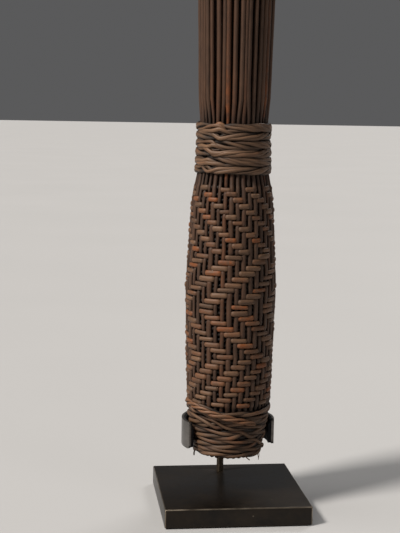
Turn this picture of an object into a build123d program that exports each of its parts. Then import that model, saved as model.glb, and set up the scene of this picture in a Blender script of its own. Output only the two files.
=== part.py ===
"""Hand whisk of bundled stems with a plaited grip, in a fitted clip stand. Sizes in millimetres."""

from build123d import *
from math import atan2, cos, degrees, isclose, radians, sin
import os

# Stand: base plate and feet
plate_side = 80.0
plate_thickness = 10.0
plate_chamfer = 0.5
foot_diameter = 12.0
foot_thickness = 0.8
foot_inset = 11.0

# Stand: post and its fixing, a little to the left of the plate's middle
axis_offset = -1.4
post_diameter = 4.0
post_clearance = 0.05
nut_across_flats = 7.0
nut_height = 3.2
washer_diameter = 9.0
washer_thickness = 0.8
counterbore_clearance = 0.6
counterbore_spare_depth = 0.6
post_end_below_band_top = 1.5

# Stand: clip band and its lining
band_width = 15.0
band_thickness = 1.5
band_right_end_deg = -10.0
band_left_end_deg = 207.0
band_corner_radius = 2.0
band_bottom_above_butt = 4.8
lining_thickness = 1.0
lining_inset = 0.6
whisk_clearance = 0.35
braze_half_width = 2.6
braze_depth = 3.0
braze_root = 1.0
fan_steps = 8
fan_overreach = 3.0

# Whisk: bundle of inner stems, laid in rings about one core stem
stem_diameter = 2.7
stem_rings = 5
butt_above_plate = 20.0
whisk_length = 450.0
# Height above the butt, and ring pitch there in stem diameters
bundle_profile = (
    (0.0, 1.070),
    (32.0, 1.463),
    (95.0, 1.589),
    (142.0, 1.396),
    (157.0, 1.211),
    (180.0, 1.137),
    (450.0, 1.627),
)
stem_bend_radius = 40.0
ring_turn_deg = 7.0
inner_stem_shortfall = 4.0

# Whisk: outer stems, flattened where they are plaited and round above
strand_count = 40
strands_per_pattern = 20
strand_width = 2.1
strand_thickness = 1.1
outer_stem_diameter = 2.3
strand_start = 1.0
first_strand_deg = -99.5

# Whisk: plaited weft rows
row_count = 40
row_pitch = 3.01
row_height = 2.0
row_thickness = 1.0
first_row_above_butt = 31.8
weave_gap = 0.1
bundle_gap = 0.2
# Each zone from the bottom: its rows, the strand at which its lowest row's float starts, the step in
# strands per row, the strands that a float covers, and the strands after which it repeats
twill_zones = (
    (9, 2, 1, 2, 4),
    (9, 4, -1, 2, 5),
    (10, 1, 1, 2, 5),
    (12, 2, -1, 1, 4),
)

# Whisk: cord lashings, as turns from the bottom
cord_gap = 0.1
cord_rounding = 0.9
upper_cord_turns = 3
upper_cord_start = 157.2
upper_cord_pitch = 9.0
upper_cord_height = 8.7
upper_cord_thickness = 2.5
lower_cord_turns = 5
lower_cord_start = 1.2
lower_cord_pitch = 5.45
lower_cord_height = 5.15
lower_cord_thickness = 2.2

# Worked out from the above
plate_top = foot_thickness + plate_thickness
butt_height = plate_top + butt_above_plate
weave_swing = (strand_thickness + row_thickness) / 4 + weave_gap / 2
upper_cord_top = upper_cord_start + upper_cord_pitch * (upper_cord_turns - 1) + upper_cord_height
lower_cord_top = lower_cord_start + lower_cord_pitch * (lower_cord_turns - 1) + lower_cord_height
round_stem_start = upper_cord_top + 3.0
round_stem_lap = 3.0


def ring_pitch(height):
    """Distance between stem rings at a height above the butt."""
    for (low, low_pitch), (high, high_pitch) in zip(bundle_profile, bundle_profile[1:]):
        if height <= high:
            share = (height - low) / (high - low)
            return stem_diameter * (low_pitch + share * (high_pitch - low_pitch))
    return stem_diameter * bundle_profile[-1][1]


def bundle_radius(height):
    """Outer radius of the inner stems at a height above the butt."""
    return stem_rings * ring_pitch(height) + stem_diameter / 2


def weave_radius(height):
    """Radius about which strands and weft rows swing in and out."""
    return bundle_radius(height) + bundle_gap + strand_thickness / 2 + weave_swing


def row_height_above_butt(row):
    """Height of a weft row's middle above the butt."""
    return first_row_above_butt + row * row_pitch


def weft_is_outside(row, strand):
    """Whether the weft of a row passes outside a strand."""
    left = row
    for rows, start, step, cover, repeat in twill_zones:
        if left < rows:
            return (strand - start - step * left) % repeat < cover
        left -= rows
    return False


def strand_angle(strand):
    """Angle of a strand about the whisk's axis, in degrees."""
    return first_strand_deg + strand * 360.0 / strand_count


def placed(shape, angle):
    """Turn a shape about the whisk's axis and stand it at the butt's height."""
    return Pos(0, 0, butt_height) * Rot(0, 0, angle) * shape


# Stand ---------------------------------------------------------------------


def band_bottom():
    """Height of the clip band's lower edge."""
    return butt_height + band_bottom_above_butt


def top_turn_held():
    """Topmost turn of the lower lashing that the lining reaches."""
    top = band_bottom_above_butt + band_width - lining_inset
    return max(turn for turn in range(lower_cord_turns) if lower_cord_bottom(turn) <= top)


def lining_radius(turn):
    """Inner radius of the lining where it clears a turn of the lower lashing."""
    return lower_cord_radius(turn) + lower_cord_thickness + whisk_clearance


def band_inner_radius():
    """Inner radius of the steel band."""
    return lining_radius(top_turn_held()) + lining_thickness


def post_offset():
    """Distance of the post's axis behind the whisk's axis."""
    return band_inner_radius() + band_thickness + post_diameter / 2


def base_plate():
    """Square plate with a bore for the post and a counterbore beneath for its nut."""
    plate = Pos(0, 0, foot_thickness) * Box(
        plate_side, plate_side, plate_thickness, align=(Align.CENTER, Align.CENTER, Align.MIN)
    )
    rim = plate.faces().sort_by(Axis.Z)[-1].edges()
    plate = chamfer(plate.edges().filter_by(Axis.Z) + rim, plate_chamfer)
    bore = Pos(axis_offset, post_offset(), foot_thickness) * Cylinder(
        post_diameter / 2 + post_clearance, plate_thickness, align=(Align.CENTER, Align.CENTER, Align.MIN)
    )
    counterbore = Pos(axis_offset, post_offset(), foot_thickness) * Cylinder(
        washer_diameter / 2 + counterbore_clearance,
        counterbore_depth(),
        align=(Align.CENTER, Align.CENTER, Align.MIN),
    )
    return plate - bore - counterbore


def counterbore_depth():
    """Depth of the counterbore that hides the nut and washer."""
    return nut_height + washer_thickness + counterbore_spare_depth


def felt_feet():
    """Four round felt pads under the plate's corners."""
    reach = plate_side / 2 - foot_inset
    pad = Cylinder(foot_diameter / 2, foot_thickness, align=(Align.CENTER, Align.CENTER, Align.MIN))
    return Compound(children=[Pos(x, y, 0) * pad for x in (-reach, reach) for y in (-reach, reach)])


def post():
    """Straight steel rod from the nut up the back of the band."""
    bottom = foot_thickness + counterbore_spare_depth
    top = band_bottom() + band_width - post_end_below_band_top
    return Pos(0, post_offset(), bottom) * Cylinder(
        post_diameter / 2, top - bottom, align=(Align.CENTER, Align.CENTER, Align.MIN)
    )


def post_nut():
    """Hexagon nut on the post's threaded end."""
    hexagon = RegularPolygon(nut_across_flats / 2, 6, major_radius=False)
    blank = hexagon - Circle(post_diameter / 2 + post_clearance)
    return Pos(0, post_offset(), foot_thickness + counterbore_spare_depth) * extrude(blank, nut_height)


def post_washer():
    """Flat washer between the nut and the plate."""
    disc = Circle(washer_diameter / 2) - Circle(post_diameter / 2 + post_clearance)
    bottom = foot_thickness + counterbore_spare_depth + nut_height
    return Pos(0, post_offset(), bottom) * extrude(disc, washer_thickness)


def arc_sector(start_deg, end_deg, reach):
    """Flat fan about the axis that keeps only the angles of the band."""
    rim = [start_deg + (end_deg - start_deg) * step / fan_steps for step in range(fan_steps + 1)]
    points = [(reach * cos(radians(angle)), reach * sin(radians(angle))) for angle in rim]
    return make_face(Polyline((0.0, 0.0), *points, close=True))


def clip_band():
    """Open steel strap with rounded end corners, behind and around the whisk's foot."""
    inner = band_inner_radius()
    outer = inner + band_thickness
    strap = extrude(Circle(outer) - Circle(inner), band_width)
    fan = arc_sector(band_right_end_deg, band_left_end_deg, fan_overreach * outer)
    strap = strap & extrude(fan, band_width)
    straight = strap.edges().filter_by(GeomType.LINE)
    ends = [edge for edge in straight if not isclose(edge.center().Z, band_width / 2)]
    return Pos(0, 0, band_bottom()) * fillet(ends, band_corner_radius)


def band_lining():
    """Soft lining inside the band, stepped out over the whisk's taper."""
    held = top_turn_held()
    step = lower_cord_bottom(held) - whisk_clearance
    upper = lining_radius(held)
    lower = lining_radius(held - 1)
    outline = Polyline(
        (lower, 0, lining_inset),
        (band_inner_radius(), 0, lining_inset),
        (band_inner_radius(), 0, band_width - lining_inset),
        (upper, 0, band_width - lining_inset),
        (upper, 0, step - band_bottom_above_butt),
        (lower, 0, step - band_bottom_above_butt - (upper - lower)),
        close=True,
    )
    inset_deg = degrees(lining_inset / band_inner_radius())
    sweep_deg = band_left_end_deg - band_right_end_deg - 2 * inset_deg
    lining = revolve(make_face(outline), Axis.Z, sweep_deg)
    return Pos(0, 0, band_bottom()) * Rot(0, 0, band_right_end_deg + inset_deg) * lining


def braze_seams():
    """Two fillets of braze in the grooves between the post and the band."""
    outer = band_inner_radius() + band_thickness
    height = band_width - post_end_below_band_top
    middle = outer + braze_depth / 2 - braze_root
    block = Pos(0, middle, 0) * Rectangle(2 * braze_half_width, braze_depth)
    seams = block - Pos(0, post_offset()) * Circle(post_diameter / 2) - Circle(outer)
    return Pos(0, 0, band_bottom()) * extrude(seams, height)


# Whisk ---------------------------------------------------------------------


def inner_stem(ring):
    """One inner stem of a ring, bowed as the bundle is, in the plane of +X."""
    tip = whisk_length - inner_stem_shortfall
    if ring == 0:
        return Cylinder(stem_diameter / 2, tip, align=(Align.CENTER, Align.CENTER, Align.MIN))
    heights = [height for height, _ in bundle_profile if height < tip] + [tip]
    points = [(ring * ring_pitch(height), 0, height) for height in heights]
    path = FilletPolyline(*points, radius=stem_bend_radius)
    return sweep(Plane(origin=path @ 0, z_dir=path % 0) * Circle(stem_diameter / 2), path=path)


def stem_ring(ring):
    """All the stems of one ring."""
    count = max(1, 6 * ring)
    stem = inner_stem(ring)
    angles = [index * 360.0 / count + ring * ring_turn_deg for index in range(count)]
    return Compound(children=[placed(stem, angle) for angle in angles])


def strand_course(strand):
    """Radius and height of the points that a strand's middle passes through, from the butt up."""
    inside = bundle_gap + strand_thickness / 2
    heights = [strand_start, lower_cord_top]
    course = [(bundle_radius(height) + inside, height) for height in heights]
    for row in range(row_count):
        middle = row_height_above_butt(row)
        swing = -weave_swing if weft_is_outside(row, strand) else weave_swing
        radius = weave_radius(middle) + swing
        course.append((radius, middle - row_height / 2))
        course.append((radius, middle + row_height / 2))
    bends = [height for height, _ in bundle_profile if upper_cord_start < height < upper_cord_top]
    for height in (upper_cord_start, *bends, upper_cord_top):
        course.append((bundle_radius(height) + inside, height))
    centre = bundle_gap + weave_gap / 2 + outer_stem_diameter / 2
    for height in (round_stem_start, round_stem_start + round_stem_lap):
        course.append((bundle_radius(height) + centre, height))
    return course


def outer_stem(strand):
    """One outer stem: a flat strand through the plait, then a round stem to the tip."""
    half = strand_thickness / 2
    course = strand_course(strand)
    outline = [(radius + half, height) for radius, height in course]
    outline += [(radius - half, height) for radius, height in reversed(course)]
    face = make_face(Polyline(*[(radius, 0, height) for radius, height in outline], close=True))
    strip = extrude(face, strand_width / 2, both=True)
    (start_radius, start), _ = course[-2:]
    end_radius = bundle_radius(whisk_length) + start_radius - bundle_radius(start)
    path = Line((start_radius, 0, start), (end_radius, 0, whisk_length))
    stem = sweep(Plane(origin=path @ 0, z_dir=path % 0) * Circle(outer_stem_diameter / 2), path=path)
    return placed(strip + stem, strand_angle(strand))


def outer_stems(first):
    """The outer stems that follow the same course through the plait as one strand."""
    stem = outer_stem(first)
    strands = range(first, strand_count, strands_per_pattern)
    turns = [strand_angle(strand) - strand_angle(first) for strand in strands]
    return Compound(children=[Rot(0, 0, turn) * stem for turn in turns])


def row_outline(row, offset):
    """Closed outline of a weft row's inner or outer face, seen from above."""
    middle = weave_radius(row_height_above_butt(row))
    points = []
    for strand in range(strand_count):
        swing = weave_swing if weft_is_outside(row, strand) else -weave_swing
        radius = middle + swing + offset
        spread = degrees(atan2(strand_width / 2, middle))
        for angle in (strand_angle(strand) - spread, strand_angle(strand) + spread):
            points.append((radius * cos(radians(angle)), radius * sin(radians(angle))))
    return make_face(Polyline(*points, close=True))


def weft_row(row):
    """One weft row, passing in and out around the grip."""
    ring = row_outline(row, row_thickness / 2) - row_outline(row, -row_thickness / 2)
    bottom = butt_height + row_height_above_butt(row) - row_height / 2
    return Pos(0, 0, bottom) * extrude(ring, row_height)


def cord_turn(inner_radius, thickness, height, bottom):
    """One closed turn of cord with rounded corners."""
    section = Pos(inner_radius + thickness / 2, bottom + height / 2) * RectangleRounded(
        thickness, height, cord_rounding
    )
    return Pos(0, 0, butt_height) * revolve(Plane.XZ * section, Axis.Z)


def strand_outer_radius(bottom, top):
    """Largest radius that the flat strands reach between two heights."""
    heights = [bottom, top] + [height for height, _ in bundle_profile if bottom < height < top]
    return max(bundle_radius(height) for height in heights) + bundle_gap + strand_thickness + cord_gap


def lower_cord_bottom(turn):
    """Height of a turn's lower edge above the butt."""
    return lower_cord_start + turn * lower_cord_pitch


def lower_cord_radius(turn):
    """Inner radius of a turn of the lower lashing."""
    bottom = lower_cord_bottom(turn)
    return strand_outer_radius(bottom, bottom + lower_cord_height)


def lower_lashing():
    """Turns of cord that taper to the butt."""
    turns = range(lower_cord_turns)
    return Compound(
        children=[
            cord_turn(
                lower_cord_radius(turn),
                lower_cord_thickness,
                lower_cord_height,
                lower_cord_bottom(turn),
            )
            for turn in turns
        ]
    )


def upper_lashing():
    """Turns of thick cord that draw the bundle in above the plait."""
    bottoms = [upper_cord_start + turn * upper_cord_pitch for turn in range(upper_cord_turns)]
    return Compound(
        children=[
            cord_turn(
                strand_outer_radius(bottom, bottom + upper_cord_height),
                upper_cord_thickness,
                upper_cord_height,
                bottom,
            )
            for bottom in bottoms
        ]
    )


# Nodes ---------------------------------------------------------------------

on_axis = {
    "post": post(),
    "post_nut": post_nut(),
    "post_washer": post_washer(),
    "clip_band": clip_band(),
    "band_lining": band_lining(),
    "braze_seams": braze_seams(),
    "upper_lashing": upper_lashing(),
    "lower_lashing": lower_lashing(),
    "core_stem": stem_ring(0),
}
for ring in range(1, stem_rings + 1):
    on_axis[f"inner_stems_ring_{ring}"] = stem_ring(ring)
for strand in range(strands_per_pattern):
    on_axis[f"outer_stems_{strand + 1:02d}"] = outer_stems(strand)
for row in range(0, row_count, 2):
    pair = [weft_row(row), weft_row(row + 1)]
    on_axis[f"weft_rows_{row + 1:02d}_{row + 2:02d}"] = Compound(children=pair)

nodes = {"base_plate": base_plate(), "felt_feet": felt_feet()}
for name, shape in on_axis.items():
    nodes[name] = Pos(axis_offset, 0, 0) * shape

os.makedirs("parts", exist_ok=True)
for name, shape in nodes.items():
    export_step(shape, f"parts/{name}.step")
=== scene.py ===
"""Hand whisk of bundled stems in a clip stand: its visual pieces, finishes and studio.

Everything is in metres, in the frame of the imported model.
"""

import logging
import math
import random
from dataclasses import dataclass, field
from enum import Enum
from typing import Callable, Iterable, Optional, Sequence

import bpy
import numpy as np
from mathutils import Matrix, Vector

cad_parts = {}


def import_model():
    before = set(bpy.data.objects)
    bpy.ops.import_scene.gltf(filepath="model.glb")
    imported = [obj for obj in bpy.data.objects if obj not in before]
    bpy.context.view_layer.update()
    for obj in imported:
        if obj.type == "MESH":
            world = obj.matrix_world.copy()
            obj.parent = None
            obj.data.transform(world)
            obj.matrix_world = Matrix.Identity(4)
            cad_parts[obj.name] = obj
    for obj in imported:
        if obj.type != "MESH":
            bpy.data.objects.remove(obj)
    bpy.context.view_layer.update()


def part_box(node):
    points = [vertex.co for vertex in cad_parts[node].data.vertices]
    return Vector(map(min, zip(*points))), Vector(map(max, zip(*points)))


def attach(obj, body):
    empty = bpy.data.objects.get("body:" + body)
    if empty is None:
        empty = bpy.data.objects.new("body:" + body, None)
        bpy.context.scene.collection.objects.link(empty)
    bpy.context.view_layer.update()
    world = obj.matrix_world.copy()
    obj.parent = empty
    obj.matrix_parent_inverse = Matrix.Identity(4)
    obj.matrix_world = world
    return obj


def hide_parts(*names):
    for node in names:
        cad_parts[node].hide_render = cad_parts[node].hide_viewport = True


LOG = logging.getLogger("whisk")
MM = 0.001

Colour = tuple[float, float, float, float]
Socket = bpy.types.NodeSocket
Material = bpy.types.Material
Piece = bpy.types.Object


class Trait(Enum):
    """Values that a piece's vertices carry for its finish."""

    GRAIN = "grain"
    TONE = "tone"
    WARM = "warm"
    # How far out a vertex lies, from which its finish paints shade.
    PROUD = "proud"


class Body(Enum):
    """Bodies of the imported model."""

    STAND = "stand"
    WHISK = "whisk"


# Finishes ------------------------------------------------------------------


class Signal:
    """A shader socket that takes part in arithmetic."""

    def __init__(self, tree: "FinishTree", socket: Socket) -> None:
        """Hold a socket of a finish.

        Args:
            tree: The finish that the socket belongs to.
            socket: The output socket.
        """
        self.tree = tree
        self.socket = socket

    def _math(self, operation: str, first: object, second: object = 0.0, clamp: bool = False) -> "Signal":
        """Add one Math node.

        Args:
            operation: What it works out.
            first: A signal or number.
            second: Another, where the operation takes two.
            clamp: Whether to keep the result from 0 to 1.

        Returns:
            Its output.
        """
        settings = {"operation": operation, "use_clamp": clamp}
        node = self.tree.node("ShaderNodeMath", settings, {0: first, 1: second})
        return Signal(self.tree, node.outputs[0])

    def __add__(self, other: object) -> "Signal":
        """Sum with a signal or number."""
        return self._math("ADD", self, other)

    __radd__ = __add__

    def __mul__(self, other: object) -> "Signal":
        """Product with a signal or number."""
        return self._math("MULTIPLY", self, other)

    __rmul__ = __mul__

    def __sub__(self, other: object) -> "Signal":
        """Difference, this less the other."""
        return self._math("SUBTRACT", self, other)

    def __rsub__(self, other: object) -> "Signal":
        """Difference, the other less this."""
        return self._math("SUBTRACT", other, self)

    def __pow__(self, other: object) -> "Signal":
        """Power of this signal."""
        return self._math("POWER", self, other)

    def clamped(self) -> "Signal":
        """This signal kept from 0 to 1."""
        return self._math("ADD", self, 0.0, clamp=True)

    def ramp(self, low: float, high: float) -> "Signal":
        """This signal stretched so that low gives 0 and high gives 1, and kept between them."""
        node = self.tree.node(
            "ShaderNodeMapRange", {"clamp": True}, {"Value": self, "From Min": low, "From Max": high}
        )
        return Signal(self.tree, node.outputs["Result"])


class FinishTree:
    """One material's node tree, with its nodes made by one method."""

    def __init__(self, name: str) -> None:
        """Make an empty material.

        Args:
            name: The material's name.
        """
        self.material = bpy.data.materials.new(name)
        self.material.use_nodes = True
        self.nodes = self.material.node_tree.nodes
        self.links = self.material.node_tree.links
        self.nodes.clear()
        self.output = self.nodes.new("ShaderNodeOutputMaterial")

    def node(
        self, kind: str, settings: Optional[dict] = None, inputs: Optional[dict] = None
    ) -> bpy.types.Node:
        """Add a node.

        Args:
            kind: The node's type.
            settings: Properties to set first.
            inputs: Socket names or numbers, with a value, a socket or a signal for each.

        Returns:
            The new node.
        """
        made = self.nodes.new(kind)
        for key, value in (settings or {}).items():
            setattr(made, key, value)
        for key, value in (inputs or {}).items():
            if isinstance(value, Signal):
                self.links.new(value.socket, made.inputs[key])
            elif isinstance(value, Socket):
                self.links.new(value, made.inputs[key])
            else:
                made.inputs[key].default_value = value
        return made

    def trait(self, trait: Trait) -> Signal:
        """Value of one of a piece's traits."""
        made = self.node("ShaderNodeAttribute", {"attribute_name": trait.value})
        return Signal(self, made.outputs["Fac"])

    def grain(self, stretch: Sequence[float]) -> Socket:
        """Grain coordinates, which follow each stem or yarn.

        Args:
            stretch: Factor for each of their axes.

        Returns:
            The stretched coordinates.
        """
        made = self.node("ShaderNodeAttribute", {"attribute_name": Trait.GRAIN.value})
        ends = {0: made.outputs["Vector"], 1: tuple(stretch)}
        scaled = self.node("ShaderNodeVectorMath", {"operation": "MULTIPLY"}, ends)
        return scaled.outputs["Vector"]

    def place(self, stretch: Sequence[float] = (1.0, 1.0, 1.0)) -> Socket:
        """Object coordinates.

        Args:
            stretch: Factor for each axis.

        Returns:
            The stretched coordinates.
        """
        made = self.node("ShaderNodeTexCoord")
        inputs = {"Vector": made.outputs["Object"], "Scale": tuple(stretch)}
        mapped = self.node("ShaderNodeMapping", None, inputs)
        return mapped.outputs["Vector"]

    def noise(self, where: Socket, scale: float, detail: float = 2.0, rough: float = 0.5) -> Signal:
        """Soft noise from 0 to 1."""
        inputs = {"Vector": where, "Scale": scale, "Detail": detail, "Roughness": rough}
        return Signal(self, self.node("ShaderNodeTexNoise", None, inputs).outputs["Fac"])

    def specks(self, where: Socket, scale: float, size: float) -> Signal:
        """Scattered round specks, 1 inside and 0 outside."""
        made = self.node("ShaderNodeTexVoronoi", {"feature": "F1"}, {"Vector": where, "Scale": scale})
        return Signal(self, made.outputs["Distance"]).ramp(size, size * 0.4)

    def mix(self, share: object, first: object, second: object) -> Socket:
        """Colour between two colours."""
        made = self.node("ShaderNodeMix", {"data_type": "RGBA"}, {0: share, 6: first, 7: second})
        return made.outputs[2]

    def bump(self, height: Signal, distance: float, strength: float = 1.0) -> Socket:
        """Normal bent by a height."""
        inputs = {"Height": height, "Distance": distance, "Strength": strength}
        return self.node("ShaderNodeBump", None, inputs).outputs["Normal"]

    def surface(self, inputs: dict) -> Material:
        """Finish the material with one shader.

        Args:
            inputs: The shader's sockets and their values, sockets or signals.

        Returns:
            The material.
        """
        shader = self.node("ShaderNodeBsdfPrincipled", None, inputs)
        self.links.new(shader.outputs[0], self.output.inputs["Surface"])
        return self.material


@dataclass(frozen=True)
class PlantFinish:
    """Dry plant stem or fibre, streaked along its grain, with painted shade that darkens it where it lies
    deep.
    """

    name: str
    # deep: colour of the painted shade where a piece lies deepest.
    deep: Colour = (0.0040, 0.0024, 0.0018, 1.0)
    dark: Colour = (0.020, 0.0095, 0.0050, 1.0)
    pale: Colour = (0.094, 0.047, 0.0255, 1.0)
    accent: Colour = (0.190, 0.052, 0.0105, 1.0)
    streak: tuple[float, float, float] = (1.5, 1.5, 0.10)
    streak_share: float = 0.60
    # recess: share of the piece's own colour left under the deepest painted shade.
    recess: float = 0.06
    roughness: float = 0.56
    relief: float = 0.00022

    def build(self) -> Material:
        """Make the material.

        Returns:
            The material.
        """
        tree = FinishTree(self.name)
        fibres = tree.noise(tree.grain(self.streak), 1.0, 4.0, 0.62)
        fine = tree.noise(tree.grain([3.1 * value for value in self.streak]), 1.0, 3.0, 0.6)
        patches = tree.noise(tree.grain((0.10, 0.10, 0.12)), 1.0, 2.0)
        tone = tree.trait(Trait.TONE)
        warm = tree.trait(Trait.WARM)
        proud = tree.trait(Trait.PROUD)
        streaks = (fibres.ramp(0.30, 0.70) * 0.6 + fine.ramp(0.3, 0.7) * 0.4) * self.streak_share
        light = (streaks + tone * (1.0 - self.streak_share) + (patches - 0.5) * 0.5).clamped()
        plain = tree.mix(light, self.dark, self.pale)
        stains = tree.noise(tree.grain((0.42, 0.42, 0.30)), 1.0, 2.0)
        tinted = tree.mix((warm * (stains.ramp(0.34, 0.60) * 0.8 + 0.2)).clamped(), plain, self.accent)
        # Painted shade: the colour darkens towards deep as the piece lies further in, standing for the shade
        # between stems and yarns.
        shown = (proud.ramp(0.0, 1.0) * (1.0 - self.recess) + self.recess).clamped()
        shaded_colour = tree.mix(shown, self.deep, tinted)
        height = fibres * 0.7 + fine * 0.3
        worn = (proud * light).clamped()
        return tree.surface(
            {
                "Base Color": shaded_colour,
                "Roughness": self.roughness + 0.12 - worn * 0.22,
                "Normal": tree.bump(height, self.relief),
                "Specular IOR Level": 0.30,
            }
        )


@dataclass(frozen=True)
class PatinaFinish:
    """Browned steel plate, semi-gloss, with cloudy patches and small light specks."""

    name: str = "browned_plate"
    dark: Colour = (0.0050, 0.0033, 0.0019, 1.0)
    pale: Colour = (0.0200, 0.0130, 0.0070, 1.0)
    speck: Colour = (0.150, 0.125, 0.095, 1.0)

    def build(self) -> Material:
        """Make the material.

        Returns:
            The material.
        """
        tree = FinishTree(self.name)
        where = tree.place()
        clouds = tree.noise(where, 45.0, 5.0, 0.6)
        mottle = tree.noise(where, 260.0, 3.0, 0.6)
        brushing = tree.noise(tree.place((30.0, 900.0, 300.0)), 1.0, 2.0)
        scattered = tree.specks(where, 170.0, 0.10) * tree.noise(where, 60.0, 1.0).ramp(0.50, 0.62)
        body = tree.mix((clouds * 0.65 + mottle * 0.35).ramp(0.35, 0.68), self.dark, self.pale)
        colour = tree.mix(scattered.clamped(), body, self.speck)
        return tree.surface(
            {
                "Base Color": colour,
                "Metallic": 0.55,
                "Roughness": (clouds * 0.22 + mottle * 0.10 + scattered * 0.3 + 0.20).clamped(),
                "Normal": tree.bump(mottle * 0.6 + brushing * 0.4, 0.00005),
            }
        )


@dataclass(frozen=True)
class MetalFinish:
    """Plain steel or braze, rubbed in one direction."""

    name: str
    colour: Colour
    shadow: Colour
    rub: tuple[float, float, float]
    roughness: float = 0.34
    metallic: float = 0.9

    def build(self) -> Material:
        """Make the material.

        Returns:
            The material.
        """
        tree = FinishTree(self.name)
        lines = tree.noise(tree.place(self.rub), 1.0, 3.0, 0.6)
        clouds = tree.noise(tree.place(), 110.0, 3.0, 0.55)
        share = (lines.ramp(0.3, 0.7) * 0.45 + clouds.ramp(0.3, 0.7) * 0.55).clamped()
        return tree.surface(
            {
                "Base Color": tree.mix(share, self.shadow, self.colour),
                "Metallic": self.metallic,
                "Roughness": (lines * 0.18 + clouds * 0.14 + (self.roughness - 0.16)).clamped(),
                "Normal": tree.bump(lines, 0.00004),
            }
        )


@dataclass(frozen=True)
class SoftFinish:
    """Felt or soft rubber: matt, with a fine uneven nap."""

    name: str
    colour: Colour
    pale: Colour
    roughness: float = 0.9

    def build(self) -> Material:
        """Make the material.

        Returns:
            The material.
        """
        tree = FinishTree(self.name)
        nap = tree.noise(tree.place(), 2600.0, 4.0, 0.7)
        clouds = tree.noise(tree.place(), 300.0, 2.0)
        return tree.surface(
            {
                "Base Color": tree.mix((nap * 0.5 + clouds * 0.5).ramp(0.35, 0.7), self.colour, self.pale),
                "Roughness": self.roughness,
                "Normal": tree.bump(nap, 0.00012),
                "Specular IOR Level": 0.25,
            }
        )


@dataclass(frozen=True)
class FloorFinish:
    """Plain pale floor with a faint unevenness."""

    name: str = "pale_floor"
    colour: Colour = (0.40, 0.395, 0.39, 1.0)

    def build(self) -> Material:
        """Make the material.

        Returns:
            The material.
        """
        tree = FinishTree(self.name)
        clouds = tree.noise(tree.place(), 3.0, 2.0)
        darker = tuple(0.93 * value for value in self.colour[:3]) + (1.0,)
        return tree.surface({"Base Color": tree.mix(clouds, darker, self.colour), "Roughness": 0.7})


@dataclass
class Finishes:
    """Every finish of the object, made once."""

    outer_stem: PlantFinish = PlantFinish("outer_stem")
    inner_stem: PlantFinish = PlantFinish(
        "inner_stem", dark=(0.012, 0.0055, 0.003, 1.0), pale=(0.060, 0.027, 0.0145, 1.0), recess=0.05
    )
    weft: PlantFinish = PlantFinish(
        "weft", dark=(0.034, 0.0175, 0.0095, 1.0), pale=(0.182, 0.098, 0.053, 1.0), recess=0.02
    )
    cord: PlantFinish = PlantFinish(
        "cord",
        dark=(0.030, 0.015, 0.0080, 1.0),
        pale=(0.215, 0.118, 0.064, 1.0),
        streak=(2.0, 2.0, 0.07),
        streak_share=0.62,
        relief=0.00026,
        roughness=0.52,
    )
    made: dict[str, Material] = field(default_factory=dict)

    def get(self, finish: object) -> Material:
        """Look up a finish's material, which is made at its first use.

        Args:
            finish: The finish.

        Returns:
            Its material.
        """
        if finish.name not in self.made:
            self.made[finish.name] = finish.build()
        return self.made[finish.name]


PLATE = PatinaFinish()
EDGE = MetalFinish(
    "worn_edge", (0.30, 0.25, 0.19, 1.0), (0.05, 0.038, 0.027, 1.0), rub=(60.0, 60.0, 60.0), roughness=0.34
)
POST = MetalFinish(
    "post_steel", (0.16, 0.125, 0.09, 1.0), (0.06, 0.045, 0.03, 1.0), rub=(900.0, 900.0, 60.0), roughness=0.4
)
BAND = MetalFinish(
    "band_steel",
    (0.22, 0.205, 0.190, 1.0),
    (0.075, 0.068, 0.062, 1.0),
    rub=(120.0, 120.0, 1400.0),
    roughness=0.36,
)
BRAZE = MetalFinish(
    "braze", (0.30, 0.22, 0.11, 1.0), (0.10, 0.07, 0.04, 1.0), rub=(400.0, 400.0, 400.0), roughness=0.5
)
LINING = SoftFinish("lining", (0.004, 0.004, 0.005, 1.0), (0.014, 0.014, 0.017, 1.0), 0.75)
FELT = SoftFinish("felt", (0.008, 0.008, 0.008, 1.0), (0.03, 0.03, 0.03, 1.0))


# Mesh work -----------------------------------------------------------------


def deselect_all() -> None:
    """Leave nothing selected, so that an operator acts on the new piece alone."""
    if bpy.context.object and bpy.context.object.mode != "OBJECT":
        bpy.ops.object.mode_set(mode="OBJECT")
    bpy.ops.object.select_all(action="DESELECT")


def make_active(piece: Piece) -> None:
    """Select one piece alone and make it active."""
    deselect_all()
    piece.select_set(True)
    bpy.context.view_layer.objects.active = piece


def apply_modifier(piece: Piece, kind: str, **settings: object) -> None:
    """Add a modifier to a piece and apply it.

    Args:
        piece: The piece.
        kind: The modifier's type.
        settings: Its properties.
    """
    make_active(piece)
    modifier = piece.modifiers.new(kind.lower(), kind)
    for key, value in settings.items():
        setattr(modifier, key, value)
    bpy.ops.object.modifier_apply(modifier=modifier.name)


def join(pieces: Sequence[Piece], name: str) -> Piece:
    """Join copies into one named piece.

    Args:
        pieces: The copies.
        name: The piece's name.

    Returns:
        The joined piece.
    """
    make_active(pieces[0])
    for piece in pieces:
        piece.select_set(True)
    if len(pieces) > 1:
        bpy.ops.object.join()
    pieces[0].name = name
    pieces[0].data.name = name
    return pieces[0]


def dress(piece: Piece, material: Material, body: Body) -> None:
    """Give a finished piece its material and body.

    Args:
        piece: The piece.
        material: Its material.
        body: The body that it moves with.
    """
    piece.data.materials.clear()
    piece.data.materials.append(material)
    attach(piece, body.value)
    LOG.info("%s: %d vertices", piece.name, len(piece.data.vertices))


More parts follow.
